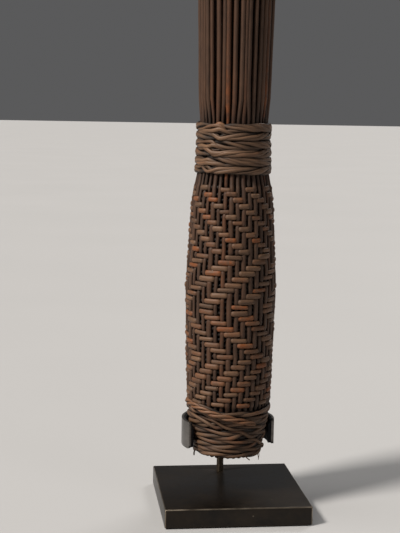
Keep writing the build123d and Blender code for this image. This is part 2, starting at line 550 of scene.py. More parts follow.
@dataclass
class Course:
    """The line that a stem, strand or yarn follows, with its section at each point.

    Attributes:
        points: Middle of the section at each step.
        side: Direction of the section's width at each step.
        half_thick: Half its thickness at each step.
        half_wide: Half its width at each step.
        tone: Lightness at each step.
        warm: Share of the reddish accent at each step.
        centre_x: Where the whisk's axis stands.
        deep_radius: Distance from the axis at which its painted shade is darkest, at each step.
        proud_radius: Distance from the axis from which it has no painted shade, at each step.
        closed: Whether the last point joins the first.
    """

    points: np.ndarray
    side: np.ndarray
    half_thick: np.ndarray
    half_wide: np.ndarray
    tone: np.ndarray
    warm: np.ndarray
    centre_x: float
    deep_radius: np.ndarray
    proud_radius: np.ndarray
    closed: bool = False

    def axes(self) -> tuple[np.ndarray, np.ndarray]:
        """Work out how the section is turned, square to the line.

        Returns:
            Directions of its thickness and of its width at each step.
        """
        if self.closed:
            along = np.roll(self.points, -1, 0) - np.roll(self.points, 1, 0)
        else:
            along = np.gradient(self.points, axis=0)
        along /= np.linalg.norm(along, axis=1)[:, None]
        wide = self.side - (self.side * along).sum(1)[:, None] * along
        wide /= np.linalg.norm(wide, axis=1)[:, None]
        return np.cross(wide, along), wide

    def lengths(self) -> np.ndarray:
        """Distance along the line at each step, in millimetres."""
        steps = np.linalg.norm(np.diff(self.points, axis=0), axis=1)
        return np.concatenate([[0.0], np.cumsum(steps)]) / MM


class Stock:
    """Plain tubes and rings that are modelled once, then copied and laid along a course.

    Attributes:
        end_share: Size of a tube's end against its middle.
        ring_radius: Radius of a plain ring, whose section has a radius of 1.
        seam: Distance within which the two sides of a seam are merged.
    """

    end_share = 0.62
    ring_radius = 3.0
    seam = 0.001

    def __init__(self) -> None:
        """Start with nothing modelled."""
        self.models: dict[tuple, tuple[Piece, np.ndarray, np.ndarray]] = {}

    def model(self, steps: int, sides: int, closed: bool) -> tuple[Piece, np.ndarray, np.ndarray]:
        """A plain tube with closed ends, or a plain ring, rolled up from a flat grid.

        Args:
            steps: Sections along it.
            sides: Points around each section.
            closed: Whether it is a ring.

        Returns:
            The model, each vertex's step, and its place in the section.
        """
        key = (steps, sides, closed)
        if key in self.models:
            return self.models[key]
        deselect_all()
        spans = steps if closed else steps - 1
        bpy.ops.mesh.primitive_grid_add(x_subdivisions=spans, y_subdivisions=sides, size=1.0)
        model = bpy.context.object
        flat = np.array([vertex.co for vertex in model.data.vertices]) + 0.5
        around = 2 * math.pi * flat[:, 1]
        if closed:
            along = 2 * math.pi * flat[:, 0]
            reach = self.ring_radius + np.cos(around)
            rolled = np.stack([reach * np.cos(along), reach * np.sin(along), np.sin(around)], 1)
        else:
            rolled = np.stack([np.cos(around), np.sin(around), spans * flat[:, 0]], 1)
        model.data.vertices.foreach_set("co", rolled.astype(np.float32).ravel())
        bpy.ops.object.mode_set(mode="EDIT")
        bpy.ops.mesh.select_all(action="SELECT")
        bpy.ops.mesh.remove_doubles(threshold=self.seam)
        bpy.ops.mesh.fill_holes(sides=0)
        bpy.ops.object.mode_set(mode="OBJECT")
        places = np.array([vertex.co for vertex in model.data.vertices])
        if closed:
            turn = np.arctan2(places[:, 1], places[:, 0]) / (2 * math.pi) * steps
            step = np.round(turn).astype(int) % steps
            section = np.stack([np.hypot(places[:, 0], places[:, 1]) - self.ring_radius, places[:, 2]], 1)
        else:
            step = np.round(places[:, 2]).astype(int)
            end = (step == 0) | (step == spans)
            section = places[:, :2] * np.where(end, self.end_share, 1.0)[:, None]
        self.models[key] = model, step, section
        return self.models[key]

    def lay(self, course: Course, sides: int, offset: float) -> Piece:
        """Copy a model and lay it along a course.

        Args:
            course: The course.
            sides: Points around each section.
            offset: Shift of the grain, so that no two copies look alike.

        Returns:
            The copy.
        """
        model, step, section = self.model(len(course.points), sides, course.closed)
        copy = bpy.data.objects.new("strand", model.data.copy())
        bpy.context.scene.collection.objects.link(copy)
        thick, wide = course.axes()
        across = section[:, :1] * course.half_thick[step, None]
        up = section[:, 1:] * course.half_wide[step, None]
        places = course.points[step] + thick[step] * across + wide[step] * up
        copy.data.vertices.foreach_set("co", places.astype(np.float32).ravel())
        grain = np.concatenate([across / MM, up / MM, course.lengths()[step, None]], 1) + offset
        # Painted shade: PROUD runs from 0 at deep_radius to 1 at proud_radius, and the finish darkens the
        # colour as it falls.
        reach = np.hypot(places[:, 0] - course.centre_x, places[:, 1])
        depth = course.proud_radius[step] - course.deep_radius[step]
        proud = np.clip((reach - course.deep_radius[step]) / depth, 0, 1)
        for trait, values in (
            (Trait.TONE, course.tone[step]),
            (Trait.WARM, course.warm[step]),
            (Trait.PROUD, proud),
        ):
            layer = copy.data.attributes.new(trait.value, "FLOAT", "POINT")
            layer.data.foreach_set("value", values.astype(np.float32))
        layer = copy.data.attributes.new(Trait.GRAIN.value, "FLOAT_VECTOR", "POINT")
        layer.data.foreach_set("vector", grain.astype(np.float32).ravel())
        copy.data.update()
        return copy

    def clear(self) -> None:
        """Remove the models, once every copy is laid."""
        for model, _, _ in self.models.values():
            bpy.data.objects.remove(model)


def finish_piece(piece: Piece, smooth_deg: float = 60.0) -> None:
    """Point a piece's faces outwards and smooth its round sides.

    Args:
        piece: The piece.
        smooth_deg: Angle between faces past which their edge stays sharp.
    """
    make_active(piece)
    bpy.ops.object.mode_set(mode="EDIT")
    bpy.ops.mesh.select_all(action="SELECT")
    bpy.ops.mesh.normals_make_consistent(inside=False)
    bpy.ops.object.mode_set(mode="OBJECT")
    bpy.ops.object.shade_smooth_by_angle(angle=math.radians(smooth_deg))
    for layer in list(piece.data.uv_layers):
        piece.data.uv_layers.remove(layer)


# Whisk ---------------------------------------------------------------------


@dataclass
class Bundle:
    """How far from its axis each layer of the whisk lies.

    Attributes:
        rings: Rings of inner stems about the core.
        stem_radius: Radius of an inner stem, in millimetres.
        profile: Height above the butt, and distance between rings there, in millimetres.
        strands: Outer stems, which are the plait's strands.
        pattern: Strands after which the plait repeats.
        first_strand: Angle of the first strand.
        easing: How far the profile's corners are eased, in millimetres.
        weave_rise: Height of the plait's middle above the inner stems, in millimetres.
    """

    rings: int = 5
    stem_radius: float = 1.35
    profile: tuple[tuple[float, float], ...] = (
        (0.0, 2.889),
        (32.0, 3.950),
        (95.0, 4.290),
        (142.0, 3.769),
        (157.0, 3.270),
        (180.0, 3.070),
        (450.0, 4.393),
    )
    strands: int = 40
    pattern: int = 20
    first_strand: float = math.radians(-99.5)
    easing: float = 5.0
    weave_rise: float = 1.325

    def __post_init__(self) -> None:
        """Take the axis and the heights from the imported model."""
        low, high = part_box("core_stem")
        self.centre_x = (low.x + high.x) / 2
        self.butt = low.z
        self.core_tip = high.z
        self.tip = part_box("outer_stems_01")[1].z

    def ring_pitch(self, height: np.ndarray) -> np.ndarray:
        """Distance between rings, eased where the profile turns.

        Args:
            height: Heights above the butt, in millimetres.

        Returns:
            The distance at each, in millimetres.
        """
        known, pitches = zip(*self.profile)
        steps = np.linspace(-self.easing, self.easing, 9)
        return np.mean([np.interp(height + step, known, pitches) for step in steps], 0)

    def radius(self, height: np.ndarray) -> np.ndarray:
        """Outer radius of the inner stems, in millimetres."""
        return self.rings * self.ring_pitch(height) + self.stem_radius

    def weave_radius(self, height: np.ndarray) -> np.ndarray:
        """Radius about which the plait swings, in millimetres."""
        return self.radius(height) + self.weave_rise

    def strand_angle(self, strand: float) -> float:
        """Angle of a strand about the axis."""
        return self.first_strand + strand * 2 * math.pi / self.strands

    def points(self, angle: np.ndarray, radius: np.ndarray, height: np.ndarray) -> np.ndarray:
        """Points in the frame from angle, radius and height, both in millimetres."""
        across = self.centre_x + radius * MM * np.cos(angle)
        back = radius * MM * np.sin(angle)
        return np.stack(np.broadcast_arrays(across, back, self.butt + height * MM), 1)

    def sideways(self, angle: np.ndarray) -> np.ndarray:
        """Directions round the axis at each angle."""
        return np.stack([-np.sin(angle), np.cos(angle), np.zeros_like(angle)], 1)


def wander(rng: random.Random, where: np.ndarray, wavelength: float, reach: float) -> np.ndarray:
    """A slow smooth wander to either side of nothing.

    Args:
        rng: The source of its phases.
        where: Distances along, in millimetres.
        wavelength: Its longest wave, in millimetres.
        reach: About how far it goes.

    Returns:
        The wander at each distance.
    """
    total = np.zeros_like(where, dtype=float)
    for share, scale in ((0.6, 1.0), (0.3, 0.47), (0.15, 0.21)):
        total += share * np.sin(2 * math.pi * (where / (wavelength * scale) + rng.random()))
    return total * reach


@dataclass
class Plait:
    """The twill that the weft rows and the outer stems make.

    Attributes:
        rows: Weft rows.
        pitch: Height of a row, in millimetres.
        first: Height of the lowest row's middle above the butt, in millimetres.
        zones: From the bottom, each zone's rows, the strand at which its lowest row's float starts, its step
            in strands a row, the strands that a float covers, and the strands after which it repeats.
        spread: How far each zone's floats reach past the strands that they cover, as a share of a strand.
    """

    rows: int = 40
    pitch: float = 3.01
    first: float = 31.8
    zones: tuple[tuple[int, int, int, int, int], ...] = (
        (9, 2, 1, 2, 4),
        (9, 4, -1, 2, 5),
        (10, 1, 1, 2, 5),
        (12, 2, -1, 1, 4),
    )
    spread: tuple[float, ...] = (0.04, 0.18, 0.20, 0.32)

    def height(self, row: float) -> float:
        """Height of a row's middle above the butt, in millimetres."""
        return self.first + row * self.pitch

    def reach(self, row: int) -> float:
        """How far a row's floats reach past the strands that they cover, as a share of a strand."""
        tops = np.cumsum([zone[0] for zone in self.zones])
        return self.spread[int(np.searchsorted(tops, row, side="right"))]

    def outside(self, row: int, strand: int) -> bool:
        """Whether the weft passes outside a strand.

        Args:
            row: The weft row, from 0 at the bottom.
            strand: The strand.

        Returns:
            True where it does.
        """
        left = row
        for rows, start, step, cover, repeat in self.zones:
            if left < rows:
                return (strand - start - step * left) % repeat < cover
            left -= rows
        return False


def eased(share: np.ndarray, sharpness: float) -> np.ndarray:
    """A step from 0 to 1 that is flat at both ends and steeper as sharpness grows."""
    pulled = np.clip((share - 0.5) * sharpness + 0.5, 0, 1)
    return pulled * pulled * (3 - 2 * pulled)


@dataclass
class InnerStems:
    """The core stem and the rings of stems about it.

    Attributes:
        spacing: Distance between steps along a stem, in millimetres.
        tip_round: Length of a stem's rounded end, in millimetres.
        shortest: How much shorter than the longest a stem may be, in millimetres.
        ring_turn: Angle by which each ring is turned past the one inside it.
        free_from: Height at which the stems begin to part, in millimetres.
        free_over: Height over which they do, in millimetres.
        thinning: Share by which a stem thins towards its tip.
        hidden: How far inside the bundle's surface a stem's painted shade is darkest, in millimetres.
    """

    bundle: Bundle
    stock: Stock
    finishes: Finishes
    sides: int = 8
    spacing: float = 15.0
    tip_round: float = 0.6
    shortest: float = 9.0
    ring_turn: float = math.radians(7.0)
    free_from: float = 190.0
    free_over: float = 240.0
    thinning: float = 0.28
    hidden: float = 9.0
    seed: int = 11

    def course(self, rng: random.Random, ring: int, angle: float) -> Course:
        """Course of one stem.

        Args:
            rng: The source of its unevenness.
            ring: Its ring, 0 for the core.
            angle: Its place round the ring.

        Returns:
            The course.
        """
        top = (self.bundle.core_tip - self.bundle.butt) / MM - rng.uniform(0.0, self.shortest)
        middle = np.arange(8.0, top - 6, self.spacing)
        heights = np.concatenate([[0.0, 0.5], middle, [top - self.tip_round, top]])
        count = len(heights)
        loose = np.clip((heights - self.free_from) / self.free_over, 0, 1)
        radius = ring * self.bundle.ring_pitch(heights) + wander(rng, heights, 260.0, 0.5) * loose
        turn = angle + wander(rng, heights, 300.0, 0.035) * loose
        size = self.bundle.stem_radius * rng.uniform(0.92, 1.08) * (1 - self.thinning * loose)
        points = self.bundle.points(turn, radius, heights)
        side = self.bundle.sideways(turn)
        outer = self.bundle.radius(heights) * MM
        return Course(
            points,
            side,
            size * MM,
            size * MM,
            np.full(count, rng.uniform(0.1, 0.8)),
            np.full(count, 0.5 * (rng.random() < 0.12)),
            self.bundle.centre_x,
            # Painted shade: the stem darkens as it lies further inside the bundle.
            outer - self.hidden * MM,
            outer + MM,
        )

    def build(self) -> None:
        """Make the core stem and every ring."""
        rng = random.Random(self.seed)
        for ring in range(self.bundle.rings + 1):
            node = f"inner_stems_ring_{ring}" if ring else "core_stem"
            count = max(1, 6 * ring)
            copies = []
            for index in range(count):
                angle = 2 * math.pi * index / count + self.ring_turn * ring
                course = self.course(rng, ring, angle)
                copies.append(self.stock.lay(course, self.sides, rng.uniform(0, 500)))
            piece = join(copies, node + "_made")
            finish_piece(piece)
            dress(piece, self.finishes.get(self.finishes.inner_stem), Body.WHISK)
            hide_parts(node)


@dataclass
class OuterStems:
    """Outer stems: flattened strands through the plait, round stems above it.

    Attributes:
        swing: How far a strand swings in and out, in millimetres.
        half_thick: Half a strand's thickness, in millimetres.
        width_share: Half a strand's width, as a share of the distance between strands.
        widest: The most that half its width may be, in millimetres.
        round_radius: Radius of the round stem, in millimetres.
        tip_round: Length of its rounded end, in millimetres.
        shortest: How much shorter than the longest a stem may be, in millimetres.
        foot_lashed: Height of the foot lashing's top, in millimetres.
        lashed_from: Height from which a stem's colour is its own, in millimetres.
        lashed_middle: Height of the upper lashing's middle, in millimetres.
        lashed_reach: How far from there the stems are drawn in, in millimetres.
        free_from: Height above which the stems are round and free, in millimetres.
        free_over: Height over which they wander apart, in millimetres.
        woven_rise: Height of a strand's middle above the inner stems in the plait, in millimetres.
        lashed_rise: The same under the lashings.
        free_rise: The same where the stems are free.
        reddish: Stems of a redder brown.
        broad: Stems that are broader than the rest.
    """

    bundle: Bundle
    plait: Plait
    stock: Stock
    finishes: Finishes
    sides: int = 10
    swing: float = 0.42
    half_thick: float = 0.82
    width_share: float = 0.335
    widest: float = 1.7
    round_radius: float = 1.36
    tip_round: float = 0.6
    shortest: float = 9.0
    foot_lashed: float = 29.0
    lashed_from: float = 153.0
    lashed_middle: float = 171.0
    lashed_reach: float = 18.0
    free_from: float = 186.0
    free_over: float = 220.0
    woven_rise: float = 1.2
    lashed_rise: float = 0.85
    free_rise: float = 1.4
    seed: int = 23
    reddish: tuple[int, ...] = (39, 7, 28)
    broad: tuple[int, ...] = (0, 4, 9, 15, 22, 27, 33, 37)

    def heights(self, rng: random.Random) -> np.ndarray:
        """Steps along a stem, close where it is plaited.

        Args:
            rng: The source of its length.

        Returns:
            Heights above the butt, in millimetres.
        """
        top = (self.bundle.tip - self.bundle.butt) / MM - rng.uniform(0.5, self.shortest)
        first = self.plait.height(0) - self.plait.pitch
        rows = np.arange(0, (self.plait.rows + 1) * 4) * self.plait.pitch / 4 + first
        free = np.arange(self.free_from, top - 6, 11.0)
        foot = [1.0, 1.5, 8.0, 15.0, 22.0]
        lashed = [self.lashed_from + 4, 164.0, 172.0, 180.0]
        return np.concatenate([foot, rows, lashed, free, [top - self.tip_round, top]])

    def course(self, rng: random.Random, strand: int) -> Course:
        """Course of one outer stem.

        Args:
            rng: The source of its unevenness.
            strand: Its number round the plait.

        Returns:
            The course.
        """
        heights = self.heights(rng)
        count = len(heights)
        states = [1.0 if not self.plait.outside(row, strand) else -1.0 for row in range(self.plait.rows)]
        states = np.array([-0.6] + states + [0.2, 0.0])
        place = np.clip((heights - self.plait.height(-1)) / self.plait.pitch, 0, len(states) - 1.001)
        low = place.astype(int)
        share = eased(place - low, 1.35)
        wave = states[low] * (1 - share) + states[low + 1] * share
        free = np.clip((heights - self.free_from) / 12.0, 0, 1)
        loose = np.clip((heights - self.free_from) / self.free_over, 0, 1)
        lashed = np.clip(1 - np.abs(heights - self.lashed_middle) / self.lashed_reach, 0, 1) ** 0.5
        low_lashed = np.clip((self.foot_lashed - heights) / 3.0, 0, 1)
        woven = 1 - np.clip(free + lashed + low_lashed, 0, 1)
        rise = self.woven_rise * woven + self.lashed_rise * (1 - woven) * (1 - free) + self.free_rise * free
        radius = self.bundle.radius(heights) + rise + wave * self.swing * woven
        radius += wander(rng, heights, 240.0, 0.4) * loose + wander(rng, heights, 30.0, 0.10) * (1 - loose)
        radius -= rng.choice((0.0, 0.0, 0.15, 0.35, 0.9)) * free + rng.uniform(0.0, 0.25) * (1 - free)
        pitch = 2 * math.pi * radius / self.bundle.strands
        gathered = 0.55 * math.sin(1.55 * strand) + 0.40 * math.sin(0.83 * strand + 1.0)
        aside = wander(rng, heights, 24.0, 0.18) * woven + (gathered + rng.uniform(-0.3, 0.3)) * free
        aside = aside + wander(rng, heights, 320.0, 1.1) * loose
        turn = self.bundle.strand_angle(strand) + aside / radius
        size = rng.uniform(1.18, 1.30) if strand in self.broad else rng.uniform(0.84, 1.12)
        flat_wide = pitch * self.width_share * size
        round_size = self.round_radius * rng.uniform(0.74, 1.10) * (1 - 0.2 * loose)
        half_thick = self.half_thick * size * (1 - free) + round_size * free
        half_wide = np.minimum(flat_wide, self.widest) * (1 - free) + round_size * free
        outer = self.bundle.weave_radius(heights)
        warm = 0.9 if strand in self.reddish else rng.choice((0.0, 0.05, 0.12, 0.25))
        fading = np.clip(1 - (heights - self.free_from) / 42.0, 0.22, 1.0)
        shown = np.where(heights > self.lashed_from, warm * fading, 0.25 * warm)
        side = self.bundle.sideways(turn)
        tone = rng.uniform(0.15, 0.85) + wander(rng, heights, 40.0, 0.14)
        return Course(
            self.bundle.points(turn, radius, heights),
            side,
            half_thick * MM,
            half_wide * MM,
            tone * np.ones(count),
            shown * np.ones(count),
            self.bundle.centre_x,
            # Painted shade: the stem darkens where it dips under the weft and where it lies in among the
            # free stems.
            (outer - 0.40 - 1.5 * free) * MM,
            (outer + 0.95) * MM,
        )

    def build(self) -> None:
        """Make the outer stems, one piece for those that take the same way through the plait."""
        rng = random.Random(self.seed)
        courses = [self.course(rng, strand) for strand in range(self.bundle.strands)]
        for first in range(self.bundle.pattern):
            copies = []
            for strand in range(first, self.bundle.strands, self.bundle.pattern):
                copies.append(self.stock.lay(courses[strand], self.sides, rng.uniform(0, 900)))
            node = f"outer_stems_{first + 1:02d}"
            piece = join(copies, node + "_made")
            finish_piece(piece)
            dress(piece, self.finishes.get(self.finishes.outer_stem), Body.WHISK)
            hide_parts(node)


@dataclass
class WeftRows:
    """Split stems that pass over and under the outer stems around the grip.

    Attributes:
        steps_per_strand: Steps along a row for each strand that it passes.
        swing: How far a row swings in and out, in millimetres.
        half_thick: Half its thickness, in millimetres.
        half_wide: Half its width, in millimetres.
        set_in: How far the rows lie inside the plait's middle, in millimetres.
        uneven: How far a float may lie above or below its row, in millimetres.
        ragged: How much further it may lie in the topmost rows, in millimetres.
        ragged_rows: How many rows those are.
    """

    bundle: Bundle
    plait: Plait
    stock: Stock
    finishes: Finishes
    sides: int = 10
    steps_per_strand: int = 7
    swing: float = 0.78
    half_thick: float = 0.82
    half_wide: float = 1.40
    set_in: float = 0.16
    uneven: float = 0.30
    ragged: float = 0.9
    ragged_rows: int = 3
    seed: int = 37

    def soften(self, values: np.ndarray) -> np.ndarray:
        """Ease the steps between neighbouring floats round a row."""
        padded = np.concatenate([values[-2:], values, values[:2]])
        return np.convolve(padded, np.ones(5) / 5, "valid")

    def course(self, rng: random.Random, row: int) -> Course:
        """Course of one row.

        Args:
            rng: The source of its floats' unevenness.
            row: The row, from 0 at the bottom.

        Returns:
            The course.
        """
        strands = self.bundle.strands
        count = strands * self.steps_per_strand
        place = np.arange(count) / self.steps_per_strand
        turn = 2 * math.pi * place / strands
        outside = np.array([1.0 if self.plait.outside(row, strand) else -1.0 for strand in range(strands)])
        low = place.astype(int)
        after = outside[(low + 1) % strands]
        share = eased(place - low + self.plait.reach(row) * (after - outside[low]) / 2, 2.0)
        wave = outside[low] * (1 - share) + after * share
        starts = (outside > 0) & (np.roll(outside, 1) < 0)
        kinds = int(starts.sum())
        floats = np.cumsum(starts) % kinds
        middles = np.roll(np.flatnonzero(starts), 1) + ((outside > 0).sum() / kinds - 1) / 2
        nearest = np.round(place).astype(int) % strands
        following = np.round(place + 0.5).astype(int) % strands
        number = floats[np.where(outside[nearest] > 0, nearest, following)]
        near_top = max(0, row - self.plait.rows + self.ragged_rows) / self.ragged_rows
        uneven = self.uneven + self.ragged * near_top
        shift = np.array([rng.uniform(-uneven, uneven) for _ in range(kinds)])
        tilt = np.array([rng.uniform(-0.14, 0.14) for _ in range(kinds)])
        plump = np.array([rng.uniform(0.80, 1.12) for _ in range(kinds)])
        lift = np.array([rng.uniform(-0.28, 0.18) for _ in range(kinds)])
        tones = np.array([min(1.0, max(0.0, rng.gauss(0.46, 0.32))) for _ in range(kinds)])
        warms = np.array([rng.choice((0.0, 0.0, 0.05, 0.1, 0.15, 0.25, 0.35, 0.8)) for _ in range(kinds)])
        from_middle = (place - middles[number] + strands / 2) % strands - strands / 2
        rise = shift[number] + tilt[number] * np.clip(from_middle, -2, 2)
        height = self.plait.height(row) + self.soften(rise)
        outer = self.bundle.weave_radius(np.full(count, self.plait.height(row)))
        radius = outer - self.set_in
        radius = radius + self.swing * wave + self.soften(lift[number]) * (wave > 0)
        seen = (wave + 1) / 2
        scale = self.soften(plump[number])
        angle = self.bundle.first_strand + turn
        return Course(
            self.bundle.points(angle, radius, height),
            np.tile([0.0, 0.0, 1.0], (count, 1)),
            self.half_thick * (0.86 + 0.14 * seen) * scale * MM,
            self.half_wide * (0.66 + 0.34 * seen) * scale * MM,
            tones[number],
            warms[number],
            self.bundle.centre_x,
            # Painted shade: the row darkens where it passes under the strands.
            (outer - 0.35) * MM,
            (outer + 1.15) * MM,
            closed=True,
        )

    def build(self) -> None:
        """Make the rows, two to a piece."""
        rng = random.Random(self.seed)
        for row in range(0, self.plait.rows, 2):
            copies = []
            for up in (0, 1):
                course = self.course(rng, row + up)
                copies.append(self.stock.lay(course, self.sides, rng.uniform(0, 900)))
            node = f"weft_rows_{row + 1:02d}_{row + 2:02d}"
            piece = join(copies, node + "_made")
            finish_piece(piece, 75.0)
            dress(piece, self.finishes.get(self.finishes.weft), Body.WHISK)
            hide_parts(node)


@dataclass(frozen=True)
class LooseYarn:
    """A yarn or fibre that leaves its turn, along a smooth line through a few places.

    Attributes:
        places: Angle in degrees, radius and height above the butt in millimetres, for each place.
        half: Half its thickness, in millimetres.
        tone: Its lightness.
        warm: Its share of the reddish accent.
        fibres: How many lie twisted together.
        twists: Times that they go round each other.
    """

    places: tuple[tuple[float, float, float], ...]
    half: float
    tone: float
    warm: float = 0.0
    fibres: int = 1
    twists: float = 1.2

    def courses(self, bundle: Bundle, rng: random.Random) -> Iterable[Course]:
        """Courses of its fibres.

        Args:
            bundle: The whisk's layers.
            rng: The source of its unevenness.

        Yields:
            One course for each fibre.
        """
        count = 12 * len(self.places)
        share = np.linspace(0, 1, count)
        degree = len(self.places) - 1
        middle = np.zeros((count, 3))
        for number, place in enumerate(self.places):
            weight = math.comb(degree, number) * share**number * (1 - share) ** (degree - number)
            middle += weight[:, None] * np.array(place)
        angle, radius, height = np.radians(middle[:, 0]), middle[:, 1], middle[:, 2]
        taper = 0.55 + 0.45 * np.clip(np.minimum(share, 1 - share) * 9, 0, 1)
        gap = self.half * 1.15 * (self.fibres > 1)
        for fibre in range(self.fibres):
            around = 2 * math.pi * (fibre / self.fibres + share * self.twists)
            out = radius + np.cos(around) * gap * taper
            up = height + np.sin(around) * gap * 1.25 * taper
            yield Course(
                bundle.points(angle, out, up),
                np.tile([0.0, 0.0, 1.0], (count, 1)) + 0.01,
                self.half * taper * MM,
                self.half * taper * rng.uniform(1.0, 1.2) * MM,
                np.clip(self.tone + wander(rng, share * 60, 30.0, 0.2), 0, 1),
                np.full(count, self.warm),
                bundle.centre_x,
                # Painted shade: each fibre darkens on its inner side.
                (radius - 0.9) * MM,
                (radius + 0.5) * MM,
            )


@dataclass
class Lashing:
    """A two-ply cord wound round the whisk, each ply of several flat yarns.

    Attributes:
        node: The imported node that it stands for.
        turns: Times that the cord goes round.
        first: Height of the lowest turn's middle above the butt, in millimetres.
        pitch: Distance between turns, in millimetres.
        inner: Radius of the cord's inner side, from a height above the butt, both in millimetres.
        lift: How far a turn is raised, from its number and angle, in millimetres.
        half_high: Half a turn's height, in millimetres.
        half_thick: Half a turn's thickness, in millimetres.
        crossing: Angle about the axis at which the two plies cross.
        half_lay: Angle from one crossing to the next.
        yarn_lay: Distance in which a ply's yarns go once round it, in millimetres.
        yarns: How many make a ply.
        sides: Points around a yarn's section.
        step: Distance between steps along a yarn, in millimetres.
        ply_half: How far a ply's yarns lie above and below its middle, as a share of half a turn's height.
        yarn_half: Half a yarn's height, as the same share.
        snap: How sharply the plies cross.
        warmth: Share of the reddish accent.
        start_angle: Angle about the axis at which the cord starts.
        climb_from: Share of a turn after which the cord climbs to the next.
        tuck_length: Length of the tucked end, in millimetres.
        tuck_depth: How far in the end is tucked, in millimetres.
        loose: Yarns that leave the turns.
    """

    bundle: Bundle
    stock: Stock
    finishes: Finishes
    node: str
    turns: int
    first: float
    pitch: float
    inner: Callable[[np.ndarray], np.ndarray]
    lift: Callable[[np.ndarray, np.ndarray], np.ndarray]
    half_high: float
    half_thick: float
    crossing: float
    half_lay: float
    yarn_lay: float
    yarns: int = 5
    sides: int = 8
    step: float = 1.2
    ply_half: float = 0.29
    yarn_half: float = 0.215
    snap: float = 4.0
    warmth: float = 0.7
    start_angle: float = math.radians(95.0)
    climb_from: float = 0.93
    tuck_length: float = 9.0
    tuck_depth: float = 2.2
    loose: tuple[LooseYarn, ...] = ()
    seed: int = 5

    def courses(self, rng: random.Random) -> Iterable[Course]:
        """Courses of every yarn of both plies.

        Args:
            rng: The source of their unevenness.

        Yields:
            One course for each yarn.
        """
        length = self.turns * 2 * math.pi * float(self.inner(np.array([self.first]))[0] + self.half_thick)
        count = int(length / self.step)
        share = np.linspace(0, 1, count)
        turn = share * self.turns
        angle = self.start_angle + turn * 2 * math.pi
        number = np.floor(turn)
        within = turn - number
        crossing = eased(np.clip((within - self.climb_from) / (1 - self.climb_from), 0, 1), 1.0)
        level = np.minimum(number, self.turns - 1) + np.where(number < self.turns - 1, crossing, 0.0)
        facing = np.arctan2(np.sin(angle), np.cos(angle))
        middle = self.first + self.pitch * level + self.lift(level, facing)
        along = share * length
        from_end = np.minimum(along, length - along)
        tuck = np.clip(1 - from_end / self.tuck_length, 0, 1) ** 2 * self.tuck_depth
        above = np.minimum(level + 1, self.turns - 1)
        below = np.maximum(level - 1, 0)
        apart = self.pitch * 2 + self.lift(above, facing) - self.lift(below, facing)
        stretch = np.clip(apart / (2 * self.pitch), 1.0, 1.6)
        twist = (angle - self.crossing) / self.half_lay * math.pi + math.pi / 2
        twist = twist + wander(rng, along, 130.0, 0.5)
        for ply in (0, 1):
            lead = twist + math.pi * ply
            spread = np.tanh(self.snap * np.cos(lead))
            ply_up = spread * self.half_high * 0.51 * stretch + wander(rng, along, 60.0, 0.12)
            crossed = 1 - np.abs(spread)
            ply_out = np.sin(lead) * crossed * self.half_thick * 0.5
            roll = rng.uniform(0, 6.28)
            way = 1 - 2 * ply
            for yarn in range(self.yarns):
                around = roll + 2 * math.pi * (yarn / self.yarns + way * along / self.yarn_lay)
                around = around + wander(rng, along, 55.0, 0.5)
                bulge = self.half_high * (self.ply_half * stretch + 0.50 * crossed)
                up = ply_up + np.sin(around) * bulge + wander(rng, along, 26.0, 0.14)
                out = ply_out + np.cos(around) * self.half_thick * 0.48 + wander(rng, along, 31.0, 0.10)
                height = middle + up
                radius = self.inner(height) + self.half_thick + out - tuck
                thin = 1 - 0.22 * np.clip(wander(rng, along, 43.0, 1.0), -0.5, 1)
                # Painted shade: the yarns darken towards the cord's inner side, in the grooves between them.
                full = self.inner(height) + 2 * self.half_thick
                yield Course(
                    self.bundle.points(angle, radius, height),
                    np.tile([0.0, 0.0, 1.0], (count, 1)),
                    self.half_thick * 0.50 * thin * MM,
                    self.half_high * self.yarn_half * thin * rng.uniform(0.85, 1.15) * MM,
                    np.clip(rng.uniform(0.15, 0.85) + wander(rng, along, 33.0, 0.28), 0, 1),
                    np.clip(wander(rng, along, 60.0, 0.5) - 0.15, 0, 1) * self.warmth,
                    self.bundle.centre_x,
                    (full - 1.15) * MM,
                    (full - 0.02) * MM,
                )

    def build(self) -> None:
        """Make the cord, with its loose yarns, as one piece."""
        rng = random.Random(self.seed)
        courses = list(self.courses(rng))
        for yarn in self.loose:
            courses += yarn.courses(self.bundle, rng)
        copies = [self.stock.lay(course, self.sides, rng.uniform(0, 900)) for course in courses]
        piece = join(copies, self.node + "_made")
        finish_piece(piece, 80.0)
        dress(piece, self.finishes.get(self.finishes.cord), Body.WHISK)
        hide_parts(self.node)


def upper_lift(level: np.ndarray, facing: np.ndarray) -> np.ndarray:
    """How far the upper turns, which lie level, sag towards the front.

    Args:
        level: Number of the turn.
        facing: Angle about the axis.

    Returns:
        The rise, in millimetres.
    """
    return -0.25 * np.cos(facing + math.pi / 2) + 0.25 * np.sin(2 * facing + level)


def lower_lift(level: np.ndarray, facing: np.ndarray) -> np.ndarray:
    """How far the turns of the foot lashing climb towards the left, the top ones the most.

    Args:
        level: Number of the turn.
        facing: Angle about the axis.

    Returns:
        The rise, in millimetres.
    """
    left = np.clip((np.radians(-98.0) - facing) / math.radians(55.0), 0, 1)
    back = np.clip((facing - math.radians(150.0)) / math.radians(30.0), 0, 1)
    climb = eased(left, 1.0) * (facing < 0) + back * (facing > 0)
    weight = np.clip(level - 1.6, 0, 3) ** 1.2 * 0.95
    return climb * weight + 0.3 * np.sin(2 * facing + 1.7 * level)


